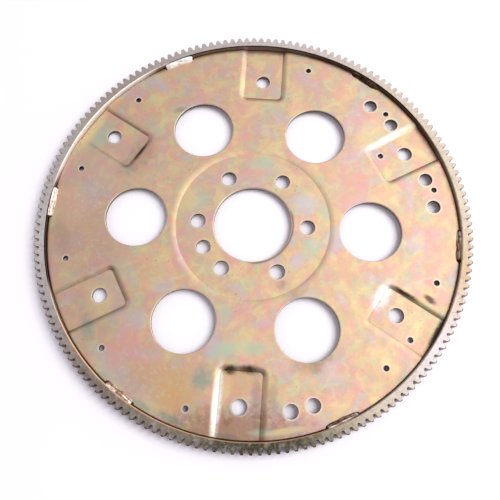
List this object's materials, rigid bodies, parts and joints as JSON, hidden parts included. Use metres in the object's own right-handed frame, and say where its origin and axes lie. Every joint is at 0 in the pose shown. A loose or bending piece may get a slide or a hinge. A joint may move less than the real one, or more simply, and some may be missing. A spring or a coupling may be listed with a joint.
{
  "type": "flexplate",
  "caption": "Stamped steel flexplate with a sunk hub and converter pads, round windows and a welded starter ring gear, joining a crankshaft to a torque converter.",
  "frame": {"origin": "on the crankshaft axis, on the plane of the ring gear's rear face, which the part lies on", "axes": "+Z along the crankshaft axis, out of the side on which the hub and pads are sunk; +X through the first converter pad of the wide bolt circle"},
  "size_m": [0.3588, 0.3588, 0.0107],
  "materials": {
    "plate": "yellow zinc chromate on stamped steel sheet, mottled pink, green and gold",
    "ring_gear": "pale yellow zinc chromate on cut steel teeth",
    "welds": "zinc plated weld metal, lumpy, partly brown"
  },
  "bodies": {
    "root": {"plate": "plate", "ring_gear": "ring_gear", "weld_bead_1": "welds", "weld_bead_2": "welds", "weld_bead_3": "welds", "weld_bead_4": "welds", "weld_bead_5": "welds", "weld_bead_6": "welds"}
  },
  "joints": []
}
